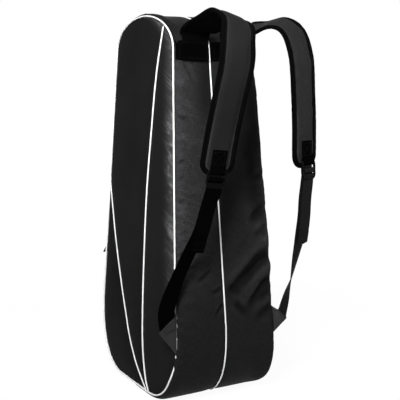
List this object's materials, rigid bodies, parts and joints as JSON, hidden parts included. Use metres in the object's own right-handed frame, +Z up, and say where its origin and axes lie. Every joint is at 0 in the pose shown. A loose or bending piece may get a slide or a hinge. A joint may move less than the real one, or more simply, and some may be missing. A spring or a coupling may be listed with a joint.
{
  "type": "racket bag",
  "caption": "Tall padded racket bag that stands on its broad end, with piped racket shaped faces, zipped compartments and padded shoulder straps.",
  "frame": {"origin": "middle of the flat base on the floor, midway between the two faces", "axes": "+X from the left face to the right face, +Y from the strap side to the zip side, +Z up the bag"},
  "size_m": [0.2707, 0.5262, 0.7465],
  "materials": {
    "gusset_fabric": "satin woven nylon",
    "face_fabric": "satin woven polyester",
    "foam": "closed cell foam, matte",
    "lining": "smooth woven lining",
    "piping": "smooth soft vinyl",
    "zip_tape": "woven tape with coil teeth",
    "zip_metal": "black enamelled zinc",
    "pull_rubber": "matte moulded rubber",
    "board": "plain sheet",
    "webbing": "ribbed webbing",
    "pad_fabric": "padded woven polyester",
    "buckle_plastic": "moulded acetal",
    "tab_fabric": "doubled woven nylon"
  },
  "bodies": {
    "shell": {"left_spine_gusset": "gusset_fabric", "left_crown_gusset_back": "gusset_fabric", "left_crown_gusset_front": "gusset_fabric", "left_front_gusset": "gusset_fabric", "left_base_gusset": "gusset_fabric", "left_base_board": "board", "left_zip_inner": "zip_tape", "left_anchor_band": "webbing", "left_strap_neck": "pad_fabric", "right_spine_gusset": "gusset_fabric", "right_crown_gusset_back": "gusset_fabric", "right_crown_gusset_front": "gusset_fabric", "right_front_gusset": "gusset_fabric", "right_base_gusset": "gusset_fabric", "right_base_board": "board", "right_zip_inner": "zip_tape", "right_anchor_band": "webbing", "right_strap_neck": "pad_fabric", "divider_panel": "lining", "divider_piping": "piping"},
    "left_cover": {"left_face_main": "face_fabric", "left_face_side": "face_fabric", "left_face_wedge": "face_fabric", "left_face_foam": "foam", "left_face_lining": "lining", "left_face_piping": "piping", "left_line_piping": "piping", "left_rim": "gusset_fabric", "left_zip_outer": "zip_tape"},
    "left_slider": {"left_slider": "zip_metal"},
    "left_pull": {"left_pull": "pull_rubber"},
    "left_strap": {"left_strap_pad": "pad_fabric", "left_buckle_loop": "webbing", "left_webbing": "webbing", "left_tab": "tab_fabric"},
    "left_lock": {"left_ladder_lock": "buckle_plastic", "left_tail": "webbing"},
    "right_cover": {"right_face_main": "face_fabric", "right_face_side": "face_fabric", "right_face_wedge": "face_fabric", "right_face_foam": "foam", "right_face_lining": "lining", "right_face_piping": "piping", "right_line_piping": "piping", "right_rim": "gusset_fabric", "right_zip_outer": "zip_tape"},
    "right_slider": {"right_slider": "zip_metal"},
    "right_pull": {"right_pull": "pull_rubber"},
    "right_strap": {"right_strap_pad": "pad_fabric", "right_buckle_loop": "webbing", "right_webbing": "webbing", "right_tab": "tab_fabric"},
    "right_lock": {"right_ladder_lock": "buckle_plastic", "right_tail": "webbing"}
  },
  "joints": [
    {"name": "left_cover_open", "type": "hinge", "parent": "shell", "child": "left_cover", "pos_m": [-0.10482, -0.166, 0.155], "axis": [0.0397, 0.0823, 0.9958], "range_deg": [0, 55]},
    {"name": "left_zip_slide", "type": "slide", "parent": "shell", "child": "left_slider", "axis": [0.0397, -0.0823, 0.9958], "range_m": [-0.11, 0.38]},
    {"name": "left_pull_swing", "type": "hinge", "parent": "left_slider", "child": "left_pull", "pos_m": [-0.07984, 0.16964, 0.28049], "axis": [0.9992, 0.0033, -0.0396], "range_deg": [-40, 110]},
    {"name": "left_strap_swing", "type": "hinge", "parent": "shell", "child": "left_strap", "pos_m": [-0.10414, -0.1694, 0.147], "axis": [0.1045, 0.0542, 0.993], "range_deg": [-15, 10]},
    {"name": "left_lock_tilt", "type": "hinge", "parent": "left_strap", "child": "left_lock", "pos_m": [-0.06893, -0.25566, 0.4636], "axis": [-0.9604, 0.2611, 0.0972], "range_deg": [0, 35]},
    {"name": "right_cover_open", "type": "hinge", "parent": "shell", "child": "right_cover", "pos_m": [0.10482, -0.166, 0.155], "axis": [0.0397, -0.0823, -0.9958], "range_deg": [0, 55]},
    {"name": "right_zip_slide", "type": "slide", "parent": "shell", "child": "right_slider", "axis": [-0.0397, -0.0823, 0.9958], "range_m": [-0.11, 0.38]},
    {"name": "right_pull_swing", "type": "hinge", "parent": "right_slider", "child": "right_pull", "pos_m": [0.07984, 0.16964, 0.28049], "axis": [0.9992, -0.0033, 0.0396], "range_deg": [-40, 110]},
    {"name": "right_strap_swing", "type": "hinge", "parent": "shell", "child": "right_strap", "pos_m": [0.10414, -0.1694, 0.147], "axis": [-0.1241, 0.0541, 0.9908], "range_deg": [-10, 15]},
    {"name": "right_lock_tilt", "type": "hinge", "parent": "right_strap", "child": "right_lock", "pos_m": [0.10193, -0.28568, 0.47396], "axis": [-0.974, -0.2248, -0.0273], "range_deg": [0, 35]}
  ]
}
